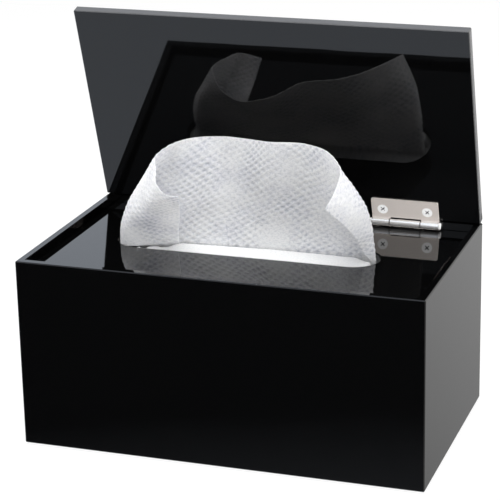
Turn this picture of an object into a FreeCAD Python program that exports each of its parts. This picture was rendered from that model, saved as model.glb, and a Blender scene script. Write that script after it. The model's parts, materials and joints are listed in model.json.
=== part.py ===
import FreeCAD, Part
import os

from FreeCAD import Vector

os.makedirs("parts", exist_ok=True)

# Countertop wipes dispenser with its lid standing open. Millimetres, +Z up, +Y to the back.
# The origin is the middle of the footprint, on the surface that the pads stand on.

# Box of polished sheet
box_width = 210.0
box_depth = 122.0
box_height = 98.0
wall_sheet = 4.0
base_sheet = 4.0
arris = 0.5
rim_arris = 0.3

# Anti-slip pads under the base
pad_thickness = 1.0
pad_diameter = 12.0
pad_inset = 14.0

# Slotted deck, which lies on ledges in a recess under the rims
deck_sheet = 4.0
deck_recess = 4.3
deck_play = 0.4
deck_arris = 0.3
slot_length = 140.0
slot_width = 27.0
slot_left_of_centre = 4.0
slot_behind_centre = 1.0
slot_arris = 0.5
ledge_width = 6.0
ledge_height = 5.0

# Lid, turned up by this angle from closed
lid_sheet = 5.0
lid_open_angle = 73.0
lid_seat_gap = 0.2
lid_rear_setback = 2.7

# Butt hinges in the rear corner of the recess
hinge_length = 36.0
hinge_inset = 40.0
barrel_diameter = 3.9
barrel_gap = 0.1
leaf_sheet = 0.9
leaf_reach = 13.5
leaf_corner = 0.8
middle_knuckle = 16.4
knuckle_play = 0.15
leaf_cut_gap = 0.45
pin_diameter = 2.0
pin_play = 0.03
pin_head_diameter = 3.4
pin_head_height = 0.8
notch_play = 0.5

# Countersunk cross-head screws
screw_spacing = 24.0
screw_reach = 7.2
screw_head = 5.6
screw_shank = 3.0
screw_length = 3.9
screw_play = 0.05
cross_length = 2.9
cross_width = 0.6
cross_depth = 0.8

# Folded wipes: the stack, and the wipe that stands up through the slot
stack_end_room = 7.0
stack_face_room = 4.0
stack_under_deck = 3.3
stack_corner = 6.0
stack_edge = 2.5
wipe_sheet = 1.1
lap_setback = 3.5
raised_height = 58.0
fold_facets = 4
bow_facets = 4

# Form of the raised wipe, level by level from the deck to its top edge
level_shares = (0, 0.18, 0.33, 0.465, 0.585, 0.755, 0.885, 1)
# Its outer edges, as shares of the slot's length from the slot's middle
left_edge_shares = (0.479, 0.479, 0.459, 0.429, 0.404, 0.357, 0.314, 0.179)
right_edge_shares = (0.479, 0.479, 0.471, 0.466, 0.454, 0.414, 0.371, 0.243)
# How far its two corners are turned in behind the turned edges, as shares of the slot's length
left_flap_shares = (0.189, 0.18, 0.145, 0.116, 0.045, 0.011, 0.007, 0.007)
right_flap_shares = (0.007, 0.011, 0.014, 0.014, 0.011, 0.007, 0.007, 0.007)
# Radius of each turned edge, as shares of the slot's width: both curl forward as they rise
left_fold_shares = (0.24, 0.278, 0.37, 0.474, 0.444, 0.3, 0.148, 0.052)
right_fold_shares = (0.09, 0.233, 0.36, 0.467, 0.53, 0.37, 0.185, 0.052)
# How far the sheet stands behind the slot's middle at its two sides, and how far it bows back
left_stand_shares = (0.063, 0.13, 0.196, 0.267, 0.344, 0.463, 0.556, 0.6)
right_stand_shares = (0.167, 0.133, 0.089, 0.03, -0.026, -0.111, -0.17, -0.1)
bow_shares = (0.015, 0.09, 0.17, 0.244, 0.315, 0.37, 0.35, 0.2)

# Places worked out from the sizes above
origin = Vector(0, 0, 0)
x_axis = Vector(1, 0, 0)
z_axis = Vector(0, 0, 1)
quarter_turn = 90
half_turn = 180
overrun = wall_sheet

half_width = box_width / 2
half_depth = box_depth / 2
inner_half_width = half_width - wall_sheet
inner_half_depth = half_depth - wall_sheet
rim_z = pad_thickness + box_height
floor_z = pad_thickness + base_sheet
deck_top = rim_z - deck_recess
deck_under = deck_top - deck_sheet
stack_top = deck_under - stack_under_deck
stack_reach = inner_half_width - stack_end_room
stack_front = -inner_half_depth + ledge_width + stack_face_room
stack_rear = inner_half_depth - stack_face_room
slot_x = -slot_left_of_centre
slot_y = slot_behind_centre

barrel_radius = barrel_diameter / 2
leaf_back = barrel_radius + barrel_gap
leaf_front = leaf_back - leaf_sheet
axis_y = inner_half_depth - leaf_back
axis_z = rim_z + lid_seat_gap - leaf_back
hinge_line = Vector(0, axis_y, axis_z)
hinge_middle = half_width - hinge_inset
hinge_middles = {"left": -hinge_middle, "right": hinge_middle}
outer_knuckle_start = middle_knuckle / 2 + knuckle_play


def block(x_low, x_high, y_low, y_high, z_low, z_high):
    corner = Vector(x_low, y_low, z_low)
    return Part.makeBox(x_high - x_low, y_high - y_low, z_high - z_low, corner)


def rod(radius, x_low, x_high):
    # A round bar about the line through the origin along X
    return Part.makeCylinder(radius, x_high - x_low, Vector(x_low, 0, 0), x_axis)


def edges_inside(shape, room):
    # The edges that lie wholly in a box
    return [edge for edge in shape.Edges if room.BoundBox.isInside(edge.BoundBox)]


def turned_open(shape):
    # Swings a piece of the lid from the closed pose up to the pose that is built
    opened = shape.copy()
    opened.rotate(hinge_line, x_axis, -lid_open_angle)
    return opened


def save(node, shape):
    shape.exportStep(os.path.join("parts", node + ".step"))
    room = shape.BoundBox
    sizes = (room.XLength, room.YLength, room.ZLength)
    print("%-24s" % node, len(shape.Solids), "x".join("%.1f" % size for size in sizes))


# Walls, cut from one shell, so that the polished arris runs on round the corners
def box_shell():
    outside = block(-half_width, half_width, -half_depth, half_depth, pad_thickness, rim_z)
    outside = outside.makeChamfer(arris, outside.Edges)
    inside = block(-inner_half_width, inner_half_width, -inner_half_depth, inner_half_depth,
                   pad_thickness - overrun, rim_z + overrun)
    shell = outside.cut(inside)
    mouth = block(-inner_half_width - rim_arris, inner_half_width + rim_arris,
                  -inner_half_depth - rim_arris, inner_half_depth + rim_arris,
                  rim_z - rim_arris, rim_z + rim_arris)
    return shell.makeChamfer(rim_arris, edges_inside(shell, mouth))


def make_walls():
    shell = box_shell()
    front = block(-half_width, half_width, -half_depth, -inner_half_depth, 0, rim_z)
    rear = block(-half_width, half_width, inner_half_depth, half_depth, 0, rim_z)
    left = block(-half_width, -inner_half_width, -inner_half_depth, inner_half_depth, 0, rim_z)
    right = block(inner_half_width, half_width, -inner_half_depth, inner_half_depth, 0, rim_z)
    rear_wall = shell.common(rear)
    for middle in hinge_middles.values():
        for drill in screw_drills():
            rear_wall = rear_wall.cut(on_rear_wall(drill, middle))
    return {
        "front_wall": shell.common(front),
        "rear_wall": rear_wall,
        "left_wall": shell.common(left),
        "right_wall": shell.common(right),
    }


def make_base_plate():
    return block(-inner_half_width, inner_half_width, -inner_half_depth, inner_half_depth,
                 pad_thickness, floor_z)


def make_pad(side_x, side_y):
    middle = Vector(side_x * (half_width - pad_inset), side_y * (half_depth - pad_inset), 0)
    return Part.makeCylinder(pad_diameter / 2, pad_thickness, middle)


# Deck and the ledges that carry it
def slot_solid():
    # A bar through the deck, round at both ends
    radius = slot_width / 2
    reach = slot_length / 2 - radius
    low = deck_under - overrun
    high = deck_top + overrun
    bar = block(slot_x - reach, slot_x + reach, slot_y - radius, slot_y + radius, low, high)
    for end in (slot_x - reach, slot_x + reach):
        bar = bar.fuse(Part.makeCylinder(radius, high - low, Vector(end, slot_y, low)))
    return bar.removeSplitter()


def make_deck_panel():
    reach_x = inner_half_width - deck_play
    reach_y = inner_half_depth - deck_play
    deck = block(-reach_x, reach_x, -reach_y, reach_y, deck_under, deck_top)
    deck = deck.makeChamfer(deck_arris, deck.Edges)
    notch_front = inner_half_depth - leaf_sheet - notch_play
    notch_reach = hinge_length / 2 + notch_play
    for middle in hinge_middles.values():
        deck = deck.cut(block(middle - notch_reach, middle + notch_reach, notch_front,
                              inner_half_depth, deck_under - overrun, deck_top + overrun))
    deck = deck.cut(slot_solid())
    slot_room = block(slot_x - slot_length / 2 - slot_arris, slot_x + slot_length / 2 + slot_arris,
                      slot_y - slot_width / 2 - slot_arris, slot_y + slot_width / 2 + slot_arris,
                      deck_top - slot_arris, deck_top + slot_arris)
    return deck.makeChamfer(slot_arris, edges_inside(deck, slot_room))


def make_ledges():
    low = deck_under - ledge_height
    front = block(-inner_half_width, inner_half_width, -inner_half_depth,
                  -inner_half_depth + ledge_width, low, deck_under)
    side = block(inner_half_width - ledge_width, inner_half_width,
                 -inner_half_depth + ledge_width, inner_half_depth, low, deck_under)
    return {
        "deck_ledge_front": front,
        "deck_ledge_left": side.mirror(origin, x_axis),
        "deck_ledge_right": side,
    }


# Hinges, drawn with the pin on the X axis and the leaf hanging down in front of a wall
def screw_body(play):
    # The head is flush with the origin and the tip points down. Its cone is as deep as the leaf.
    head = Part.makeCone(screw_shank / 2 + play, screw_head / 2 + play, leaf_sheet,
                         Vector(0, 0, -leaf_sheet))
    length = screw_length + play
    shank = Part.makeCylinder(screw_shank / 2 + play, length, Vector(0, 0, -length))
    return head.fuse(shank)


def cross_screw():
    screw = screw_body(0)
    for turn in (0, quarter_turn):
        bar = block(-cross_length / 2, cross_length / 2, -cross_width / 2, cross_width / 2,
                    -cross_depth, cross_depth)
        bar.rotate(origin, z_axis, quarter_turn / 2 + turn)
        screw = screw.cut(bar)
    return screw


def in_leaf(screw, side):
    # Lays a screw in one of the leaf's two holes, its tip pointing into the wall
    placed = screw.copy()
    placed.rotate(origin, x_axis, quarter_turn)
    placed.translate(Vector(side * screw_spacing / 2, leaf_front, -screw_reach))
    return placed


def leaf_screws():
    return [in_leaf(cross_screw(), side) for side in (-1, 1)]


def screw_drills():
    return [in_leaf(screw_body(screw_play), side) for side in (-1, 1)]


def make_leaf(knuckles, cut_outs):
    outline = [
        Vector(0, leaf_back, -leaf_reach),
        Vector(0, leaf_back, -barrel_radius),
        Vector(0, barrel_radius, 0),
        Vector(0, barrel_radius - leaf_sheet, 0),
        Vector(0, leaf_front, -barrel_radius),
        Vector(0, leaf_front, -leaf_reach),
    ]
    profile = Part.Face(Part.makePolygon(outline + outline[:1]))
    leaf = profile.extrude(Vector(hinge_length, 0, 0))
    leaf.translate(Vector(-hinge_length / 2, 0, 0))
    corner_edges = [edge for edge in leaf.Edges if is_leaf_corner(edge)]
    leaf = leaf.makeFillet(leaf_corner, corner_edges)
    for start, end in cut_outs:
        leaf = leaf.cut(block(start, end, -leaf_back, leaf_back + overrun,
                              -barrel_radius - leaf_cut_gap, leaf_back))
    for start, end in knuckles:
        leaf = leaf.fuse(rod(barrel_radius, start, end))
    leaf = leaf.removeSplitter()
    leaf = leaf.cut(rod(pin_diameter / 2 + pin_play, -hinge_length, hinge_length))
    for drill in screw_drills():
        leaf = leaf.cut(drill)
    return leaf


def is_leaf_corner(edge):
    # The short edges across the sheet at the leaf's free end
    room = edge.BoundBox
    across = room.YLength > leaf_sheet / 2
    return across and room.ZMax < -leaf_reach + leaf_corner


def make_body_leaf():
    middle = middle_knuckle / 2
    past_end = hinge_length / 2 + overrun
    return make_leaf([(-middle, middle)], [(-past_end, -middle), (middle, past_end)])


def make_lid_leaf():
    start = outer_knuckle_start
    end = hinge_length / 2
    return make_leaf([(-end, -start), (start, end)], [(-start, start)])


def make_pin():
    end = hinge_length / 2 + knuckle_play
    pin = rod(pin_diameter / 2, -end, end)
    for side in (-1, 1):
        pin = pin.fuse(Part.makeCylinder(pin_head_diameter / 2, pin_head_height,
                                         Vector(side * end, 0, 0), Vector(side, 0, 0)))
    return pin


def on_rear_wall(shape, middle):
    placed = shape.copy()
    placed.translate(Vector(middle, axis_y, axis_z))
    return placed


def under_lid(shape, middle):
    # The same piece against the closed lid: half a turn about the line between the two leaves
    placed = shape.copy()
    placed.rotate(origin, Vector(0, 1, 1), half_turn)
    placed.translate(Vector(middle, axis_y, axis_z))
    return placed


def make_hinges():
    pieces = {}
    for side, middle in hinge_middles.items():
        lid_screws = [turned_open(under_lid(screw, middle)) for screw in leaf_screws()]
        body_screws = [on_rear_wall(screw, middle) for screw in leaf_screws()]
        name = "hinge_" + side
        pieces[name + "_body_leaf"] = on_rear_wall(make_body_leaf(), middle)
        pieces[name + "_lid_leaf"] = turned_open(under_lid(make_lid_leaf(), middle))
        pieces[name + "_pin"] = on_rear_wall(make_pin(), middle)
        pieces[name + "_body_screws"] = Part.makeCompound(body_screws)
        pieces[name + "_lid_screws"] = Part.makeCompound(lid_screws)
    return pieces


# Lid, drawn closed and then swung up. Its rear edge stops short of the pins,
# so that it passes over the rear wall's rim instead of into it.
def make_lid_panel():
    under = axis_z + leaf_back
    lid = block(-half_width, half_width, -half_depth, axis_y - lid_rear_setback,
                under, under + lid_sheet)
    lid = lid.makeChamfer(arris, lid.Edges)
    for middle in hinge_middles.values():
        for drill in screw_drills():
            lid = lid.cut(under_lid(drill, middle))
    return turned_open(lid)


# Wipes
def make_wipe_stack():
    stack = block(-stack_reach, stack_reach, stack_front, stack_rear, floor_z, stack_top)
    upright = [edge for edge in stack.Edges if edge.BoundBox.ZLength > stack_corner]
    stack = stack.makeFillet(stack_corner, upright)
    top = [edge for edge in stack.Edges if edge.BoundBox.ZMin > stack_top - stack_edge]
    return stack.makeChamfer(stack_edge, top)


def turned_edge(x, y, radius, start, end, height):
    # Points round a turn of the sheet, with angles in quarter turns from straight back, clockwise
    points = []
    for step in range(fold_facets + 1):
        quarters = start + (end - start) * step / fold_facets
        turn = FreeCAD.Rotation(z_axis, -quarter_turn * quarters)
        points.append(Vector(x, y, height) + turn.multVec(Vector(0, radius, 0)))
    return points


def bowed_middle(start, end, bow):
    # Points along the middle of the sheet between its two turned edges, bowed back
    points = []
    for step in range(1, bow_facets):
        share = step / bow_facets
        lean = bow * (1 - (2 * share - 1) ** 2)
        points.append(start + (end - start) * share + Vector(0, lean, 0))
    return points


def wipe_side(level, height, grow):
    # One face of the sheet in plan, from the left flap's free edge round to the right one's
    left_back = slot_y + left_stand_shares[level] * slot_width
    right_back = slot_y + right_stand_shares[level] * slot_width
    bow = bow_shares[level] * slot_width
    left_fold = left_fold_shares[level] * slot_width
    right_fold = right_fold_shares[level] * slot_width
    left = slot_x - left_edge_shares[level] * slot_length + left_fold
    right = slot_x + right_edge_shares[level] * slot_length - right_fold
    left_end = left + left_flap_shares[level] * slot_length
    right_end = right - right_flap_shares[level] * slot_length
    left_turn = turned_edge(left, left_back - left_fold, left_fold + grow, -2, 0, height)
    right_turn = turned_edge(right, right_back - right_fold, right_fold + grow, 0, 2, height)
    middle = bowed_middle(left_turn[-1], right_turn[0], bow)
    first = Vector(left_end, left_back - 2 * left_fold - grow, height)
    last = Vector(right_end, right_back - 2 * right_fold - grow, height)
    return [first] + left_turn + middle + right_turn + [last]


def wipe_section(level, height):
    # The sheet's cut edge at one height, a closed ribbon
    outer = wipe_side(level, height, wipe_sheet / 2)
    inner = wipe_side(level, height, -wipe_sheet / 2)
    return Part.makePolygon(outer + inner[::-1] + outer[:1])


def make_raised_wipe():
    lap_top = stack_top + wipe_sheet
    sections = [wipe_section(0, lap_top - wipe_sheet / 2)]
    for level, share in enumerate(level_shares):
        sections.append(wipe_section(level, deck_top + share * raised_height))
    standing = Part.makeLoft(sections, True, True)
    reach = stack_reach - lap_setback
    lap = block(-reach, reach, stack_front + lap_setback, stack_rear - lap_setback,
                stack_top, lap_top)
    upright = [edge for edge in lap.Edges if edge.BoundBox.ZLength > wipe_sheet / 2]
    lap = lap.makeFillet(stack_corner, upright)
    return standing.fuse(lap)


def main():
    pieces = make_walls()
    pieces["base_plate"] = make_base_plate()
    for y_name, side_y in (("front", -1), ("rear", 1)):
        for x_name, side_x in (("left", -1), ("right", 1)):
            pieces["pad_" + y_name + "_" + x_name] = make_pad(side_x, side_y)
    pieces["deck_panel"] = make_deck_panel()
    pieces.update(make_ledges())
    pieces["lid_panel"] = make_lid_panel()
    pieces.update(make_hinges())
    pieces["wipe_stack"] = make_wipe_stack()
    pieces["raised_wipe"] = make_raised_wipe()
    for node, shape in pieces.items():
        save(node, shape)


main()
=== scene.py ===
import json
import math

import bpy
import numpy as np
from mathutils import Matrix, Vector


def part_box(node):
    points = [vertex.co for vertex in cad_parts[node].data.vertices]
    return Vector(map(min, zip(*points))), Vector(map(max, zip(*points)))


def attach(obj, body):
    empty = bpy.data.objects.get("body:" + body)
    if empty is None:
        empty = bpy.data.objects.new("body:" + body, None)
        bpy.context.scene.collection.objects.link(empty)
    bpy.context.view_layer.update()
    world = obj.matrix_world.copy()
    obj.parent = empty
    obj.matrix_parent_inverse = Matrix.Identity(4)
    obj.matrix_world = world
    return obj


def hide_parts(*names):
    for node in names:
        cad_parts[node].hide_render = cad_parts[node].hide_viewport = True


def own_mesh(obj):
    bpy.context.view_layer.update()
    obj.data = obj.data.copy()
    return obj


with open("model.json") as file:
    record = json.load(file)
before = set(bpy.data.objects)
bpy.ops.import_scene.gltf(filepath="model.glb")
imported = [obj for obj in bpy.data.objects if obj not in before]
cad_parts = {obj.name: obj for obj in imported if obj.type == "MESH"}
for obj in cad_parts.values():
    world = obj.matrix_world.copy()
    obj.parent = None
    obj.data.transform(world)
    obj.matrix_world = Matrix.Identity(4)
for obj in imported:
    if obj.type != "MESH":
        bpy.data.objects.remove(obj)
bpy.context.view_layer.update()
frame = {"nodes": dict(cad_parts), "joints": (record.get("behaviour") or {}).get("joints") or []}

# Countertop wipes dispenser: black acrylic box, open lid on two butt hinges, one wipe pulled up.
# Sizes in the dictionaries are millimetres, as they would be measured on the object.
mm = 0.001
white = (1, 1, 1, 1)
stackLow, stackHigh = (Vector(corner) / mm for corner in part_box("wipe_stack"))


# The lid turns about the pins. At rest it stands open.
pins = next(joint for joint in frame["joints"] if joint["name"] == "lid_hinge")
pinPlace = Vector(pins["pos_m"])
opened = math.radians(-pins["range_deg"][0])
upLid = Vector((0, -math.cos(opened), math.sin(opened)))        # along the sheet, from the pins
intoLid = Vector((0, math.sin(opened), math.cos(opened)))       # through it, from its lower face
alongX = Vector((1, 0, 0))


camera = {
    "place": (308.4, -885.4, 412.8),
    "turn": 18.08,              # degrees to the right of straight in front
    "rise": 17.59,              # degrees above the counter
    "roll": -0.82,
    "lens": 139.75,
    "shift": (-0.08, -0.08),
    "sensor": 36,
    "farthest": 20,             # metres
}


def makeCamera():
    turn, rise, roll = (math.radians(camera[key]) for key in ("turn", "rise", "roll"))
    back = Vector((math.sin(turn) * math.cos(rise), -math.cos(turn) * math.cos(rise),
                   math.sin(rise)))
    right = Vector((0, 0, 1)).cross(back).normalized()
    up = back.cross(right)
    rolledRight = math.cos(roll) * right + math.sin(roll) * up
    rolledUp = math.cos(roll) * up - math.sin(roll) * right
    data = bpy.data.cameras.new("camera")
    data.lens = camera["lens"]
    data.sensor_width = camera["sensor"]
    data.shift_x, data.shift_y = camera["shift"]
    data.clip_end = camera["farthest"]
    eye = bpy.data.objects.new("camera", data)
    turned = Matrix((rolledRight, rolledUp, back)).transposed().to_4x4()
    eye.matrix_world = Matrix.Translation(Vector(camera["place"]) * mm) @ turned
    bpy.context.collection.objects.link(eye)
    bpy.context.scene.camera = eye
    print("camera set")


makeCamera()


class Value:
    # One output socket. Expressions on it add the Math nodes that work them out.
    def __init__(self, board, socket):
        self.board = board
        self.socket = socket

    def maths(self, operation, *others, clamp=False):
        settings = {"operation": operation, "use_clamp": clamp}
        inputs = dict(enumerate((self,) + others))
        return self.board.node("ShaderNodeMath", settings, inputs)

    def __add__(self, other):
        return self.maths("ADD", other)

    def __sub__(self, other):
        return self.maths("SUBTRACT", other)

    def __rsub__(self, other):
        return (self * -1) + other

    def __mul__(self, other):
        return self.maths("MULTIPLY", other)

    def __truediv__(self, other):
        return self.maths("DIVIDE", other)

    __radd__ = __add__
    __rmul__ = __mul__

    def awayFrom(self, middle):
        return (self - middle).maths("ABSOLUTE")

    def above(self, limit, soft):
        # 0 below the limit and 1 above it, over a soft step
        return ((self - (limit - soft / 2)) / soft).maths("MULTIPLY", 1, clamp=True)

    def part(self, name):
        # Another output of the same node
        return Value(self.board, self.socket.node.outputs[name])


class Board:
    # A node tree. Its nodes all come from one method.
    def __init__(self, tree):
        self.tree = tree
        tree.nodes.clear()

    def node(self, kind, settings=None, inputs=None):
        made = self.tree.nodes.new(kind)
        for name, setting in (settings or {}).items():
            setattr(made, name, setting)
        for name, value in (inputs or {}).items():
            socket = self.findInput(made, name)
            if isinstance(value, Value):
                self.tree.links.new(value.socket, socket)
            else:
                socket.default_value = value
        shown = [output for output in made.outputs if output.enabled]
        return Value(self, shown[0]) if shown else None

    def findInput(self, made, name):
        if isinstance(name, int):
            return made.inputs[name]
        return next(s for s in made.inputs if name in (s.name, s.identifier) and s.enabled)

    def mixColour(self, share, first, second, blend="MIX"):
        return self.node("ShaderNodeMix", {"data_type": "RGBA", "blend_type": blend},
                         {"Factor_Float": share, "A_Color": first, "B_Color": second})

    def noise(self, place, scale, detail=2, roughness=0.5):
        return self.node("ShaderNodeTexNoise", {},
                         {"Vector": place, "Scale": scale, "Detail": detail,
                          "Roughness": roughness})

    def stretched(self, place, scales):
        return self.node("ShaderNodeVectorMath", {"operation": "MULTIPLY"}, {0: place, 1: scales})

    def along(self, place, direction):
        # How far a place lies along a direction
        return self.node("ShaderNodeVectorMath", {"operation": "DOT_PRODUCT"},
                         {0: place, 1: direction})

    def distance(self, place, point, counts):
        # From a point, counting each direction as much as counts says
        gap = self.node("ShaderNodeVectorMath", {"operation": "SUBTRACT"}, {0: place, 1: point})
        return self.node("ShaderNodeVectorMath", {"operation": "LENGTH"},
                         {0: self.stretched(gap, counts)})

    def objectPlace(self):
        return self.node("ShaderNodeTexCoord").part("Object")

    def bump(self, height, distance, strength=1.0):
        return self.node("ShaderNodeBump", {},
                         {"Height": height, "Distance": distance, "Strength": strength})


def newFinish(name, shade):
    # A material whose Principled shader takes the settings that shade(board) works out
    material = bpy.data.materials.new(name)
    material.use_nodes = True
    board = Board(material.node_tree)
    surface = board.node("ShaderNodeBsdfPrincipled", {}, shade(board))
    board.node("ShaderNodeOutputMaterial", {}, {"Surface": surface})
    return material


acrylic = {
    "black": (0.0018, 0.0018, 0.0019, 1),
    "dust": (0.03, 0.03, 0.031, 1),
    "cutEdge": (0.075, 0.075, 0.077, 1),        # sawn edges scatter more light
    "cutStreak": (0.115, 0.115, 0.118, 1),
    "rough": 0.018,
    "smear": 0.022,             # how much duller the faint wiping marks are
    "scratch": 0.05,
    "dustRough": 0.12,
    "cutRough": 0.16,
    "bend": 1.49,               # index of refraction
}


def polishedSheet(board, cutMask=None):
    place = board.objectPlace()
    smears = board.noise(board.stretched(place, (9, 22, 22)), 1, 3)
    hairlines = board.noise(board.stretched(place, (60, 900, 900)), 1, 2, 0.6)
    dust = board.noise(place, 2600, 1).above(0.79, 0.03)
    roughness = acrylic["rough"] + acrylic["smear"] * smears.above(0.55, 0.3)
    roughness = roughness + acrylic["scratch"] * hairlines.above(0.69, 0.04)
    roughness = roughness + acrylic["dustRough"] * dust
    colour = board.mixColour(dust, acrylic["black"], acrylic["dust"])
    if cutMask:
        mask = cutMask(board, place)
        streaks = board.noise(board.stretched(place, (35, 700, 700)), 1, 3)
        cut = board.mixColour(streaks, acrylic["cutEdge"], acrylic["cutStreak"])
        colour = board.mixColour(mask, colour, cut)
        roughness = roughness + mask * acrylic["cutRough"]
    ripple = board.noise(place, 38, 1)
    return {
        "Base Color": colour,
        "Roughness": roughness,
        "Normal": board.bump(ripple, 0.00006, 0.35),
        "IOR": acrylic["bend"],
    }


lid = {
    "frontEdge": 115.55,        # from the pins, up the sheet
    "skin": 0.4,                # the cut ends start this far inside the sheet's own ends
    "rearBand": 3.6,            # reach of the rear edge, up the sheet
    "edgeBack": 0.7,            # that edge reaches this much further towards the pins
}


def lidCut(board, place):
    # The lid's narrow side and front faces
    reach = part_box("lid_panel")[1][0] - lid["skin"] * mm
    ends = board.along(place, alongX).maths("ABSOLUTE").above(reach, 0.1 * mm)
    front = pinPlace.dot(upLid) + lid["frontEdge"] * mm
    return ends.maths("MAXIMUM", board.along(place, upLid).above(front, 0.1 * mm))


finishes = {
    "black_acrylic": newFinish("blackAcrylic", polishedSheet),
    "lidAcrylic": newFinish("lidAcrylic", lambda board: polishedSheet(board, lidCut)),
}


hinge = {
    "leaf": (0.66, 0.605, 0.57, 1),
    "leafShade": (0.61, 0.56, 0.525, 1),
    "leafMetal": 0.12,
    "leafRough": 0.34,
    "barrel": (0.95, 0.935, 0.92, 1),
    "barrelRough": 0.14,
    "barrelMetal": 0.75,
    "barrelRadius": 2.02,
    "middle": 65.0,             # of each hinge, from the middle of the box
    "knuckleEnd": 8.3,          # of the middle knuckle, from there
    # painted shade in the seams between the knuckles
    "seamShade": (0.10, 0.095, 0.09, 1),
    # The heads are near-white and not metal: a painted highlight in place of the bright reflection
    # of the chrome screws
    "screw": (0.95, 0.95, 0.95, 1),
    "screwShade": (0.93, 0.93, 0.93, 1),
    "screwMetal": 0.0,
    "screwRough": 0.22,
    "screwFace": 1.15,          # of the heads, from the plane through the pins
    # painted shade for the cross recess in the screw heads
    "cross": (0.035, 0.04, 0.05, 1),
}


def satinLeaf(board):
    place = board.objectPlace()
    grain = board.noise(board.stretched(place, (90, 5200, 5200)), 1, 3, 0.6)
    blotches = board.noise(place, 160, 3)
    offAxis = board.distance(place, pinPlace, (0, 1, 1))
    barrel = 1 - offAxis.above(hinge["barrelRadius"] * mm, 0.04 * mm)
    along = board.along(place, alongX).maths("ABSOLUTE").awayFrom(hinge["middle"] * mm)
    # The seams between the knuckles are painted dark: painted shade in the gaps
    seamShade = barrel * (1 - along.awayFrom(hinge["knuckleEnd"] * mm).above(0.3 * mm, 0.2 * mm))
    colour = board.mixColour(blotches, hinge["leaf"], hinge["leafShade"])
    colour = board.mixColour(barrel, colour, hinge["barrel"])
    rough = hinge["leafRough"] + 0.14 * grain
    return {
        "Base Color": board.mixColour(seamShade, colour, hinge["seamShade"]),
        "Metallic": hinge["leafMetal"] + (hinge["barrelMetal"] - hinge["leafMetal"]) * barrel,
        "Roughness": rough + (hinge["barrelRough"] - rough) * barrel,
        "Normal": board.bump(grain, 0.00002, 0.5),
    }


def brightPin(board, sinks=None):
    # sinks is the way a screw points. With it, the cross recess in the screw's head is painted
    # dark, as painted shade in the recess.
    place = board.objectPlace()
    scuffs = board.noise(place, 2400, 3)
    turned = board.noise(board.stretched(place, (7000, 300, 300)), 1, 2)
    # Near-white with no metal is a painted highlight in place of chrome's reflection. The scuffs
    # only vary its tone.
    colour = board.mixColour(scuffs, hinge["screw"], hinge["screwShade"])
    if sinks:
        # Below the head's face the cross recess is painted dark: painted shade
        face = pinPlace.dot(sinks) + hinge["screwFace"] * mm
        cross = board.along(place, sinks).above(face + 0.2 * mm, 0.1 * mm)
        colour = board.mixColour(cross, colour, hinge["cross"])
    return {
        "Base Color": colour,
        "Metallic": hinge["screwMetal"],
        "Roughness": hinge["screwRough"] + 0.12 * turned,
        "Normal": board.bump(scuffs, 0.00001, 0.4),
    }


pad = {
    "black": (0.018, 0.018, 0.019, 1),
    "worn": (0.034, 0.034, 0.035, 1),
    "rough": 0.62,
}


def softRubber(board):
    place = board.objectPlace()
    grain = board.noise(place, 3800, 3)
    return {
        "Base Color": board.mixColour(grain, pad["black"], pad["worn"]),
        "Roughness": pad["rough"] + 0.25 * grain,
        "Normal": board.bump(grain, 0.00005, 0.6),
    }


cloth = {
    "ridge": (0.905, 0.905, 0.915, 1),
    # painted shade: the dimples and thread lines are coloured darker in place of their relief's
    # shading
    "dimple": (0.50, 0.52, 0.575, 1),
    # a whiter copy of the same cloth for the fold that faces up: partly a smoother fold, partly
    # painted light
    "smooth": (0.925, 0.925, 0.905, 1),
    "lilac": (0.93, 0.93, 0.965, 1),            # slow patches of a cooler white
    "pitch": (5.4, 3.6),        # of the pressed dimples, across and up the sheet
    "stray": 0.22,              # how far they stray from straight rows, in pitches
    "pressed": 0.42,            # how deep they are
    "evenness": (0.75, 0.5),    # mean share of that depth, and how much it varies
    "shareLimits": (0.2, 1.2),
    "roundness": 1.2,
    "seeds": (11, 12, 13),      # for the strays across and up the sheet, and for the depth
    "faint": 0.15,              # how much of it shows on the smooth fold
    "grain": 0.16,
    "uneven": 2.1,              # how much the fibres mottle it
    "rough": 0.78,
    "thickness": 0.34,
    "glow": 0.8,                # light goes through the thin sheet
    "glowDepth": 1.3,
}


def wipeCloth(board, plain="ridge", pressed=1.0):
    place = board.node("ShaderNodeAttribute", {"attribute_name": "sheetPlace"}).part("Vector")
    dimple = board.node("ShaderNodeAttribute", {"attribute_name": "dimple"}).part("Fac")
    fibres = board.noise(board.stretched(place, (900, 1500, 900)), 1, 5, 0.75)
    web = board.node("ShaderNodeTexVoronoi", {"feature": "DISTANCE_TO_EDGE"},
                     {"Vector": board.stretched(place, (330, 520, 330)), "Scale": 1.0})
    threads = 1 - web.above(0.09, 0.16)
    patches = board.noise(place, 55, 3)
    # The sunk dimples and thread lines are painted darker, as painted shade. The fibres add the
    # cloth's own mottled tone.
    sunk = (dimple * 0.75 + threads * 0.3) * (0.3 + 0.7 * patches.above(0.5, 0.5)) * pressed
    shade = sunk + (fibres - 0.5) * cloth["uneven"]
    colour = board.mixColour(shade.above(0.42, 0.85), cloth[plain], cloth["dimple"])
    cool = patches.above(0.56, 0.25) * pressed
    colour = board.mixColour(cool, colour, cloth["lilac"], "MULTIPLY")
    return {
        "Base Color": colour,
        "Roughness": cloth["rough"] + 0.15 * fibres,
        "Normal": board.bump(fibres - sunk * 0.8, cloth["grain"] * mm, 0.9),
        "Subsurface Weight": cloth["glow"],
        "Subsurface Radius": (1.0, 0.98, 0.95),
        "Subsurface Scale": cloth["glowDepth"] * mm,
        "Sheen Weight": 0.12,
        "Sheen Roughness": 0.5,
    }


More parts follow.
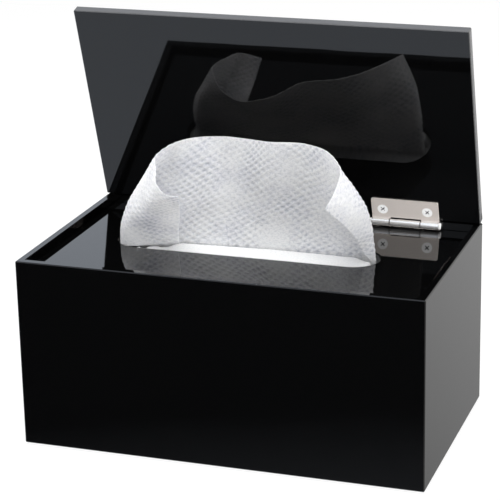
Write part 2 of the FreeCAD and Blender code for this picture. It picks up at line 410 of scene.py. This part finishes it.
finishes["hinge_steel"] = newFinish("hingeSteel", satinLeaf)
finishes["screw_steel"] = newFinish("screwSteel", brightPin)
finishes["wallScrews"] = newFinish("wallScrews", lambda board: brightPin(board, Vector((0, 1, 0))))
finishes["lidScrews"] = newFinish("lidScrews", lambda board: brightPin(board, intoLid))
finishes["pad_rubber"] = newFinish("padRubber", softRubber)
finishes["wipe_cloth"] = newFinish("wipeCloth", wipeCloth)
# The risen fold gets a whiter copy of the cloth with faint pressing: partly a smoother fold, partly
# painted light
finishes["smoothLitCloth"] = newFinish("smoothLitCloth",
                                    lambda board: wipeCloth(board, "smooth", cloth["faint"]))
print("finishes made")


def dressNodes():
    # Each node has its slot's finish, apart from the lid and the two kinds of screws
    special = {"lid_panel": "lidAcrylic", "lid_screws": "lidScrews", "body_screws": "wallScrews"}
    for name, shape in frame["nodes"].items():
        kind = name.split("_", 2)[-1] if "screws" in name else name
        for slot in shape.material_slots:
            slot.material = finishes[special.get(kind, slot.material.name.split(".")[0])]
    print("nodes dressed")


dressNodes()


def makeLidSheet():
    # The lid's own mesh, with a rear edge that leaves less of a gap over the rear wall's rim
    panel = frame["nodes"]["lid_panel"]
    mesh = panel.data.copy()
    for vertex in mesh.vertices:
        fromPins = (panel.matrix_world @ vertex.co - pinPlace).dot(upLid)
        if fromPins < lid["rearBand"] * mm:
            vertex.co -= upLid * lid["edgeBack"] * mm
    sheet = bpy.data.objects.new("lidSheet", mesh)
    sheet.matrix_world = panel.matrix_world
    bpy.context.collection.objects.link(sheet)
    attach(sheet, "lid")
    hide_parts("lid_panel")
    print("lid sheet made")


makeLidSheet()


def smoothLine(points, count):
    # Evenly spaced places along a curve through the points
    points = np.array(points, float)
    padded = np.vstack([2 * points[0] - points[1], points, 2 * points[-1] - points[-2]])
    share = np.linspace(0, 1, 17)[:-1, None]
    square, cube = share ** 2, share ** 3
    run = []
    for before, start, end, after in zip(padded, padded[1:], padded[2:], padded[3:]):
        gap = np.linalg.norm(end - start)
        leave = centredSlope(before, start, end) * gap
        arrive = centredSlope(start, end, after) * gap
        run.append((2 * cube - 3 * square + 1) * start + (cube - 2 * square + share) * leave
                   + (3 * square - 2 * cube) * end + (cube - square) * arrive)
    run = np.vstack(run + [points[-1:]])
    lengths = np.concatenate([[0], np.cumsum(np.linalg.norm(np.diff(run, axis=0), axis=1))])
    wanted = np.linspace(0, lengths[-1], count)
    return np.stack([np.interp(wanted, lengths, run[:, axis]) for axis in range(3)], axis=1)


def centredSlope(before, here, after):
    # The slope of a curve at a point, from its two chords, where the nearer one counts for more
    chordIn, chordOut = here - before, after - here
    lengthIn, lengthOut = np.linalg.norm(chordIn), np.linalg.norm(chordOut)
    return (chordIn / lengthIn * lengthOut + chordOut / lengthOut * lengthIn) / (
        lengthIn + lengthOut)


def smoothStep(value, low, high):
    share = np.clip((value - low) / (high - low), 0, 1)
    return share * share * (3 - 2 * share)


def gridPiece(name, grid, sheetPlaces, finish, thickness=0):
    # A mesh of rows of points in millimetres, with the place of each on the flat sheet
    rows, columns = grid.shape[:2]
    mesh = bpy.data.meshes.new(name)
    corners = np.arange(rows * columns).reshape(rows, columns)
    faces = np.stack([corners[:-1, :-1], corners[:-1, 1:], corners[1:, 1:], corners[1:, :-1]],
                     axis=-1).reshape(-1, 4)
    mesh.from_pydata((grid.reshape(-1, 3) * mm).tolist(), [], faces.tolist())
    place = mesh.attributes.new("sheetPlace", "FLOAT_VECTOR", "POINT")
    place.data.foreach_set("vector", (sheetPlaces.reshape(-1, 3) * mm).ravel())
    pressed = mesh.attributes.new("dimple", "FLOAT", "POINT")
    pressed.data.foreach_set("value", dimples(sheetPlaces).ravel())
    mesh.polygons.foreach_set("use_smooth", [True] * len(mesh.polygons))
    piece = bpy.data.objects.new(name, mesh)
    bpy.context.collection.objects.link(piece)
    mesh.materials.append(finishes[finish])
    if thickness:
        thicken(piece, thickness)
    return piece


def thicken(piece, thickness):
    shell = piece.modifiers.new("thickness", "SOLIDIFY")
    shell.thickness = thickness * mm
    shell.offset = 0
    applyModifiers(piece)


def applyModifiers(piece):
    seen = bpy.context.evaluated_depsgraph_get()
    bare = piece.data
    piece.data = bpy.data.meshes.new_from_object(piece.evaluated_get(seen))
    piece.modifiers.clear()
    piece.data.name = piece.name
    bpy.data.meshes.remove(bare)


waves = {
    "count": 9,
    "lengths": (11, 34),        # of the shortest and the longest
}


def softWaves(places, size, seed):
    # Slow random waves over the sheet, from a few seeded sines
    dice = np.random.default_rng(seed)
    shortest, longest = waves["lengths"]
    height = np.zeros(places.shape[:2])
    for _ in range(waves["count"]):
        turn, phase = dice.uniform(0, math.pi), dice.uniform(0, 2 * math.pi)
        length = dice.uniform(shortest, longest)
        run = places[..., 0] * math.cos(turn) + places[..., 1] * math.sin(turn)
        height += np.sin(2 * math.pi * run / length + phase) * length / longest
    return height * size / 3


def dimples(places):
    # 1 in the middle of each pressed dimple, which lie in staggered rows, and 0 on the ridges
    seedAcross, seedUp, seedDepth = cloth["seeds"]
    across = places[..., 0] / cloth["pitch"][0] + softWaves(places, cloth["stray"], seedAcross)
    upward = places[..., 1] / cloth["pitch"][1] + softWaves(places, cloth["stray"], seedUp)
    lattice = np.cos(math.pi * (across + upward)) * np.cos(math.pi * (across - upward))
    mean, varies = cloth["evenness"]
    share = (mean + softWaves(places, varies, seedDepth)).clip(*cloth["shareLimits"])
    return np.abs(lattice) ** cloth["roundness"] * share


def sheetPlaces(grid):
    # Where each point lies on the flat sheet: distance along its row, and up the middle column
    across = np.cumsum(np.linalg.norm(np.diff(grid, axis=1, prepend=grid[:, :1]), axis=2), axis=1)
    across = across - across[:, grid.shape[1] // 2, None]
    middle = grid[:, grid.shape[1] // 2]
    upward = np.cumsum(np.linalg.norm(np.diff(middle, axis=0, prepend=middle[:1]), axis=1))
    upward = np.broadcast_to(upward[:, None], across.shape)
    return np.stack([across, upward, np.zeros_like(across)], axis=2)


def surfaceNormals(grid):
    across = np.gradient(grid, axis=1)
    upward = np.gradient(grid, axis=0)
    normals = np.cross(across, upward)
    return normals / np.linalg.norm(normals, axis=2, keepdims=True)


raisedWipe = {
    "flat": (188, 200),
    "stands": 58,               # length of sheet above the deck
    "lies": 134,                # and below it
    "step": 0.62,               # between mesh points on the part that stands
    "lapStep": 2.4,             # and on the part that lies folded on the stack
    "waves": 0.45,              # height of its soft waves
    "seed": 7,
    "loose": (97, 108),         # the waves grow between these heights
    "squashKeep": 0.08,         # of its height, under the closed lid
    # Lines up the sheet from the deck to its top edge, from the left free edge round to the right
    "lines": [
        [(-41.4, 1, 94.3), (-40.2, -2.6, 101.9), (-38.3, -5.4, 109.8), (-34.9, -13.6, 118),
         (-31, -25, 127.8)],                                                # left free edge
        [(-50.5, -3, 94.4), (-49, -5.2, 102.9), (-45, -9.4, 111.3), (-39.8, -16.4, 119.5),
         (-36.6, -26, 128.4)],
        [(-57.3, -7, 94.4), (-57.8, -9.2, 104), (-53, -13.2, 113.4), (-47, -18.9, 122.3),
         (-42.4, -24, 132)],
        [(-64.2, -10.5, 94.3), (-65, -10.9, 105), (-60.6, -11.2, 115), (-54.8, -12, 125.2),
         (-47, -13.5, 138.3)],
        [(-70.5, -8, 94.3), (-70.2, -6.6, 106), (-66.2, -5.6, 115.5), (-59.4, -4.2, 128.5),
         (-50.2, -3, 141.8)],                                               # left turned edge
        [(-70, -0.5, 94.3), (-68.6, 1.5, 106), (-63.6, 3, 118), (-57.2, 5, 131), (-46.6, 6, 145.3)],
        [(-41.2, 2.7, 94.3), (-41, 5, 108), (-40, 8, 121), (-39.8, 11.7, 133), (-39.8, 16, 146.4)],
        [(-19, 4, 94.3), (-20, 7.3, 108), (-21.3, 12, 121), (-23, 17.8, 133.7), (-24.7, 24, 146.4)],
        [(-7, 4.8, 94.3), (-7.5, 7.4, 107.5), (-8.6, 11.5, 121), (-10, 16, 134), (-11.3, 21, 147)],
        [(5.5, 5.2, 94.3), (5.4, 6.2, 109), (5.2, 7.5, 122.4), (4.9, 9, 136.2), (4.9, 10.5, 149.3)],
        [(27, 5.5, 94.3), (27, 5.9, 108), (27, 6.2, 122.4), (27, 6.6, 136.5), (27.2, 7, 150.6)],
        [(46, 5.5, 94.3), (45.3, 4.2, 107.7), (44, 1.8, 121.5), (43.5, -1.4, 135.4),
         (43.6, -5, 148.9)],
        [(63, 3.4, 94.3), (62.7, 0.1, 106), (62, -3.4, 115.7), (61, -7.2, 124.9),
         (55.4, -12.5, 136.2), (50.8, -16.5, 144.6)],                       # right turned edge
        [(62.8, 2, 94.3), (61.5, -2.8, 104.5), (60, -9, 113), (58.4, -16, 122),
         (54.5, -21.6, 128.4), (49.7, -27.5, 134.9)],
        [(60.8, 0.7, 94.3), (58.6, -3.6, 99.7), (57, -12, 109.5), (53.4, -21.4, 119.4),
         (50, -27.1, 125), (47.4, -32, 130)],                               # right free edge
    ],
    # Under the deck: back over the stack, round, and forward again. These are places (y, z).
    "lap": [(5.5, 94.3), (5.8, 92.2), (9.5, 89.55), (20, 89.5), (45.2, 89.5), (46.8, 88.85),
            (45.2, 88.25), (0, 88.05), (-41.5, 88.05)],
    "inSlot": (89.6, 94.3),     # heights between which it closes up, down to the stack
    "slotShare": 0.3,           # the part of the lap that this can be
    "lapTurn": (0.42, 0.46),    # shares of the lap between which it turns over at the back
    "flapUnder": 0.4,           # the turned-in edges lie just under the sheet, later over it
    "flapReach": (1.5, 7),      # how far in front of the sheet an edge counts as turned in
}


def wipeRows():
    # Rows of points from the sheet's lower end, folded on the stack, up to its top edge
    upright = round(raisedWipe["stands"] / raisedWipe["step"])
    across = round(raisedWipe["flat"][0] / raisedWipe["step"])
    net = np.stack([smoothLine(line, upright) for line in raisedWipe["lines"]], axis=1)
    standing = np.stack([smoothLine(row, across) for row in net])
    foot = standing[0]
    path = [(0, y, z) for y, z in raisedWipe["lap"]]
    lap = smoothLine(path, round(raisedWipe["lies"] / raisedWipe["lapStep"]))[1:]
    setIn = foot[:, 1] - lap[0][1]
    flapShare = smoothStep(-setIn, *raisedWipe["flapReach"])
    slotLow, slotHigh = raisedWipe["inSlot"]
    rows = []
    for number, (_, y, z) in enumerate(lap):
        share = number / len(lap)
        spread = smoothStep(z, slotLow, slotHigh) if share < raisedWipe["slotShare"] else 0
        turned = smoothStep(share, *raisedWipe["lapTurn"])
        layer = flapShare * raisedWipe["flapUnder"] * (2 * turned - 1)
        down = foot.copy()
        down[:, 1] = y + setIn * spread
        down[:, 2] = z + layer * (1 - spread) + (foot[:, 2] - slotHigh) * spread
        rows.append(down)
    return np.concatenate([np.array(rows[::-1]), standing])


def makeRaisedWipe():
    grid = wipeRows()
    places = sheetPlaces(grid)
    loose = smoothStep(grid[..., 2], *raisedWipe["loose"])
    relief = softWaves(places, raisedWipe["waves"], raisedWipe["seed"]) * loose
    relief = relief + cloth["pressed"] * (0.5 - dimples(places))
    grid = grid + surfaceNormals(grid) * relief[..., None]
    wipe = gridPiece("raisedWipe", grid, places, "wipe_cloth", cloth["thickness"])
    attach(wipe, "box")
    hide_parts("raised_wipe")
    return wipe


nextWipe = {
    "squashKeep": 0.3,          # of its height, under the closed lid
    "halfWidth": 90.5,
    "front": -42.5,
    "rear": 46.5,
    "upper": 88.78,             # height of its upper half, between the raised wipe's two laps
    "lower": 87.68,
    "riseTo": 94.15,            # the fold that stands pushed up in the slot
    "slotFront": -12.15,
    "slotMiddle": 1.0,
    # Rear limit of the risen fold, along the slot: it stays in front of the raised wipe
    "rearLimit": [(-90, -12.4), (-66, -12.4), (-59, -9), (-57.4, -10.2), (-55.5, -10),
                  (-54, -7.2), (-50, -5.4), (-48.6, -6.8), (-44.6, -5.4), (-43.4, -1.6), (-40, 1.6),
                  (-20, 3.4), (5, 4.5), (35, 4.6), (53, 4.0), (58.5, -0.2), (61, -1.4), (90, -1.4)],
    "ends": (-69, 63.6),        # of the risen fold, along the slot
    "corner": 11.5,             # the fold's ends are round over this length, as the slot's are
    "cornerSlack": 1.6,         # and the circle that they follow is this much larger
    "riseOver": 1.5,            # the fold's front climbs over this much
    "fallOver": 1.1,            # its rear falls over this much
    "endOver": 2,               # and its ends climb over this much
    "crown": (0.075, 9),        # height and length of the fold's slight waves
    "step": 0.8,                # between mesh points along the box
    "fine": (6.6, -13.2),       # from here to here the rows lie close, for the risen fold
    "apart": (0.4, 0.8),        # between those rows and the ones behind and in front
    "nose": 0.5,                # how far the fold's front bulges out
    "rows": (12, 67, 12, 26),   # behind, in and in front of that part, and in the lower half
}


def risenShare(x, y):
    # How far the sheet has risen into the slot, from 0 to 1
    limitX, limitY = zip(*nextWipe["rearLimit"])
    rear = np.interp(x, limitX, limitY)
    left, right = nextWipe["ends"]
    corner = nextWipe["corner"]
    fromEnd = np.minimum(x - left, right - x)
    inCorner = np.clip(corner - fromEnd, 0, corner)
    reach = corner + nextWipe["cornerSlack"]
    halfSlot = np.sqrt(np.clip(reach ** 2 - inCorner ** 2, 0, None))
    front = np.maximum(nextWipe["slotFront"], nextWipe["slotMiddle"] - halfSlot)
    rise = smoothStep(y, front, front + nextWipe["riseOver"])
    rise = rise * (1 - smoothStep(y, rear - nextWipe["fallOver"], rear))
    return rise * smoothStep(fromEnd, 0, nextWipe["endOver"])


def flatRow(x, y, z):
    return np.stack([x, np.full_like(x, y), np.full_like(x, z)], axis=1)


def makeNextWipe():
    front, rear = nextWipe["front"], nextWipe["rear"]
    upper, lower = nextWipe["upper"], nextWipe["lower"]
    halfWidth, (fineRear, fineFront) = nextWipe["halfWidth"], nextWipe["fine"]
    behind, risen, ahead, below = nextWipe["rows"]
    apartRear, apartFront = nextWipe["apart"]
    x = np.arange(-halfWidth, halfWidth + 0.1, nextWipe["step"])
    crownHeight, crownLength = nextWipe["crown"]
    top = nextWipe["riseTo"] + crownHeight * np.sin(x / crownLength)
    upperRun = np.concatenate([np.linspace(rear, fineRear + apartRear, behind),
                               np.linspace(fineRear, fineFront, risen),
                               np.linspace(fineFront - apartFront, front, ahead)])
    rows = []
    for y in upperRun:
        row = flatRow(x, y, upper)
        row[:, 2] += risenShare(x, y) * (top - upper)
        rows.append(row)
    rows.append(flatRow(x, front - nextWipe["nose"], (upper + lower) / 2))
    rows += [flatRow(x, y, lower) for y in np.linspace(front, rear, below)]
    grid = np.array(rows)
    wipe = gridPiece("nextWipe", grid, sheetPlaces(grid), "smoothLitCloth", cloth["thickness"])
    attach(wipe, "box")
    return wipe


wipeStack = {
    "layers": 41,
    "topRoom": 0.1,
    "corner": 6.0,
    "cornerSteps": 8,
    "wander": 0.35,             # how unevenly the layers lie
    "wanderLimit": 0.3,
    "seed": 3,
    # Up the edge of one layer: share of its height, and how far in from the stack's side
    "edge": ((0.06, 0.85), (0.3, 0.4), (0.7, 0.35), (0.94, 0.8)),
    "cap": 0.05,                # height of the low cones that close its two ends
    "capTip": 0.01,             # size of their tips, as a share of the stack's
}


def stackOutline(inset):
    # The stack in plan, with round corners, from the middle of its rear side
    halfX = (stackHigh.x - stackLow.x) / 2 - inset
    halfY = (stackHigh.y - stackLow.y) / 2 - inset
    radius = wipeStack["corner"] - inset
    middleY = (stackHigh.y + stackLow.y) / 2
    points = []
    for quarter, (sideX, sideY) in enumerate(((1, 1), (1, -1), (-1, -1), (-1, 1))):
        for step in range(wipeStack["cornerSteps"] + 1):
            turn = math.pi / 2 * (1 - quarter - step / wipeStack["cornerSteps"])
            points.append((sideX * (halfX - radius) + radius * math.cos(turn),
                           middleY + sideY * (halfY - radius) + radius * math.sin(turn)))
    return points


def capRow(row, rise):
    tip = wipeStack["capTip"]
    return [(x * tip, y * tip, row[0][2] + rise) for x, y, _ in row]


def makeWipeStack():
    dice = np.random.default_rng(wipeStack["seed"])
    wander, limit = wipeStack["wander"], wipeStack["wanderLimit"]
    height = (stackHigh.z - wipeStack["topRoom"] - stackLow.z) / wipeStack["layers"]
    rows = []
    for layer in range(wipeStack["layers"]):
        sway = dice.normal(0, wander / 2, 2).clip(-limit, limit)
        for rise, inset in wipeStack["edge"]:
            z = stackLow.z + (layer + rise) * height
            rows.append([(x + sway[0], y + sway[1], z) for x, y in stackOutline(inset + wander)])
    rows = [capRow(rows[0], -wipeStack["cap"])] + rows + [capRow(rows[-1], wipeStack["cap"])]
    grid = np.array(rows)
    grid = np.concatenate([grid, grid[:, :1]], axis=1)
    places = np.stack([grid[..., 0] + grid[..., 1], grid[..., 2], grid[..., 1]], axis=2)
    stack = gridPiece("wipeStack", grid, places, "wipe_cloth")
    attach(stack, "box")
    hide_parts("wipe_stack")


def layWipes():
    makeWipeStack()
    lower = makeNextWipe()
    raised = makeRaisedWipe()
    for wipe, keep in ((raised, raisedWipe["squashKeep"]), (lower, nextWipe["squashKeep"])):
        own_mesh(wipe)
    print("wipes laid")


layWipes()


studio = {
    "fill": 0.25,               # soft light from all round
    "boxes": {                  # soft boxes: place, size and power
        "top": ((0, -60, 1300), 1100, 15),
        "left": ((-1000, -480, 60), 800, 7),
        "right": ((1000, -500, 300), 800, 6.4),
        "low": ((-550, -1000, 30), 700, 2.2),
        "high": ((150, -900, 900), 800, 1.6),
    },
    "aim": (0, 0, 110),
    "snoot": {                  # a narrow spot that lifts the right hinge out of the black
        "place": (560, -300, 210),
        "aim": (68, 53, 106),
        "cone": 4.4,            # degrees
        "softEdge": 0.4,
        "size": 6,
        "power": 15,
    },
    "coolWhite": (0.90, 0.97, 1.08, 1),
    "darkFront": 0.985,         # how dark the room that polished sheet shows is, low in front
    "darkBack": 1.05,           # and low at the back
    "darkest": 0.3,
    "floor": (0.86, 0.86, 0.86, 1),
    "floorReach": 3000,
    "floorGlow": 0.8,           # how much of the floor that the camera sees is plain white
    "floorShine": 1.12,
    "card": (0.01, 0.01, 0.01, 1),
    "flag": ((-108, 62.5, 99), (106, 62.5, 103.6)),     # black card behind the lid's rear edge
}


def makeWorld():
    # Everything is lit softly from all round. Polished sheet shows a pale room with dark parts.
    world = bpy.data.worlds.new("studio")
    world.use_nodes = True
    bpy.context.scene.world = world
    board = Board(world.node_tree)
    rays = board.node("ShaderNodeLightPath")
    way = board.node("ShaderNodeTexCoord").part("Generated")
    upward = board.along(way, (0, 0, 1))
    inward = board.along(way, (0, 1, 0))
    lowFront = 1 - inward.above(-0.25, 0.3)
    lowFront = lowFront * (1 - upward.above(0.02, 0.16)) * upward.above(-0.5, 0.2)
    lowBack = inward.above(0.1, 0.2) * (1 - upward.above(-0.4, 0.5))
    backShare = (1 - studio["darkBack"] * lowBack).maths("MAXIMUM", studio["darkest"])
    room = (1 - studio["darkFront"] * lowFront) * backShare
    tint = board.mixColour(board.along(way, alongX).above(0.0, 0.3), studio["coolWhite"], white)
    shown = board.mixColour(room, (0, 0, 0, 1), tint)
    pale = board.node("ShaderNodeBackground", {}, {"Color": white, "Strength": 1.0})
    soft = board.node("ShaderNodeBackground", {}, {"Color": white, "Strength": studio["fill"]})
    gloss = board.node("ShaderNodeBackground", {}, {"Color": shown, "Strength": 1.0})
    seen = board.node("ShaderNodeMixShader", {},
                      {0: rays.part("Is Glossy Ray"), 1: soft, 2: gloss})
    seen = board.node("ShaderNodeMixShader", {}, {0: rays.part("Is Camera Ray"), 1: seen, 2: pale})
    board.node("ShaderNodeOutputWorld", {}, {"Surface": seen})


def stagePlane(name, corners, finish, shade, unseenBy):
    # A plane of the studio, which the kinds of rays in unseenBy don't meet
    mesh = bpy.data.meshes.new(name)
    mesh.from_pydata([Vector(corner) * mm for corner in corners], [], [(0, 1, 2, 3)])
    plane = bpy.data.objects.new(name, mesh)
    bpy.context.collection.objects.link(plane)
    material = bpy.data.materials.new(finish)
    material.use_nodes = True
    board = Board(material.node_tree)
    board.node("ShaderNodeOutputMaterial", {}, {"Surface": shade(board)})
    mesh.materials.append(material)
    for rays in unseenBy:
        setattr(plane, "visible_" + rays, False)


def shadeFloor(board):
    # Matt for the light, and nearly plain white for the camera
    rays = board.node("ShaderNodeLightPath")
    matt = board.node("ShaderNodeBsdfDiffuse", {}, {"Color": studio["floor"]})
    glow = board.node("ShaderNodeEmission", {}, {"Color": white, "Strength": studio["floorShine"]})
    share = rays.part("Is Camera Ray") * studio["floorGlow"]
    return board.node("ShaderNodeMixShader", {}, {0: share, 1: matt, 2: glow})


def shadeCard(board):
    return board.node("ShaderNodeBsdfDiffuse", {}, {"Color": studio["card"]})


def makePlanes():
    reach = studio["floorReach"]
    corners = [(-reach, -reach, 0), (reach, -reach, 0), (reach, reach, 0), (-reach, reach, 0)]
    stagePlane("floor", corners, "paleFloor", shadeFloor, ("glossy",))
    # Only polished sheet shows the card, where the gap under the lid would show the pale room
    (left, y, low), (right, _, high) = studio["flag"]
    corners = [(left, y, low), (right, y, low), (right, y, high), (left, y, high)]
    stagePlane("flag", corners, "blackCard", shadeCard, ("camera", "diffuse", "shadow"))


def addLamp(name, kind, place, aim, power):
    data = bpy.data.lights.new(name, kind)
    data.energy = power
    lamp = bpy.data.objects.new(name, data)
    lamp.location = Vector(place) * mm
    lamp.rotation_euler = (Vector(aim) - Vector(place)).to_track_quat("-Z", "Y").to_euler()
    lamp.visible_glossy = False
    bpy.context.collection.objects.link(lamp)
    return data


def makeLamps():
    for name, (place, size, power) in studio["boxes"].items():
        box = addLamp(name, "AREA", place, studio["aim"], power)
        box.shape = "DISK"
        box.size = size * mm
    snoot = studio["snoot"]
    spot = addLamp("snoot", "SPOT", snoot["place"], snoot["aim"], snoot["power"])
    spot.spot_size = math.radians(snoot["cone"])
    spot.spot_blend = snoot["softEdge"]
    spot.shadow_soft_size = snoot["size"] * mm


def lightStudio():
    makeWorld()
    makePlanes()
    makeLamps()
    bpy.context.scene.view_settings.view_transform = "Standard"
    print("studio lit")


lightStudio()
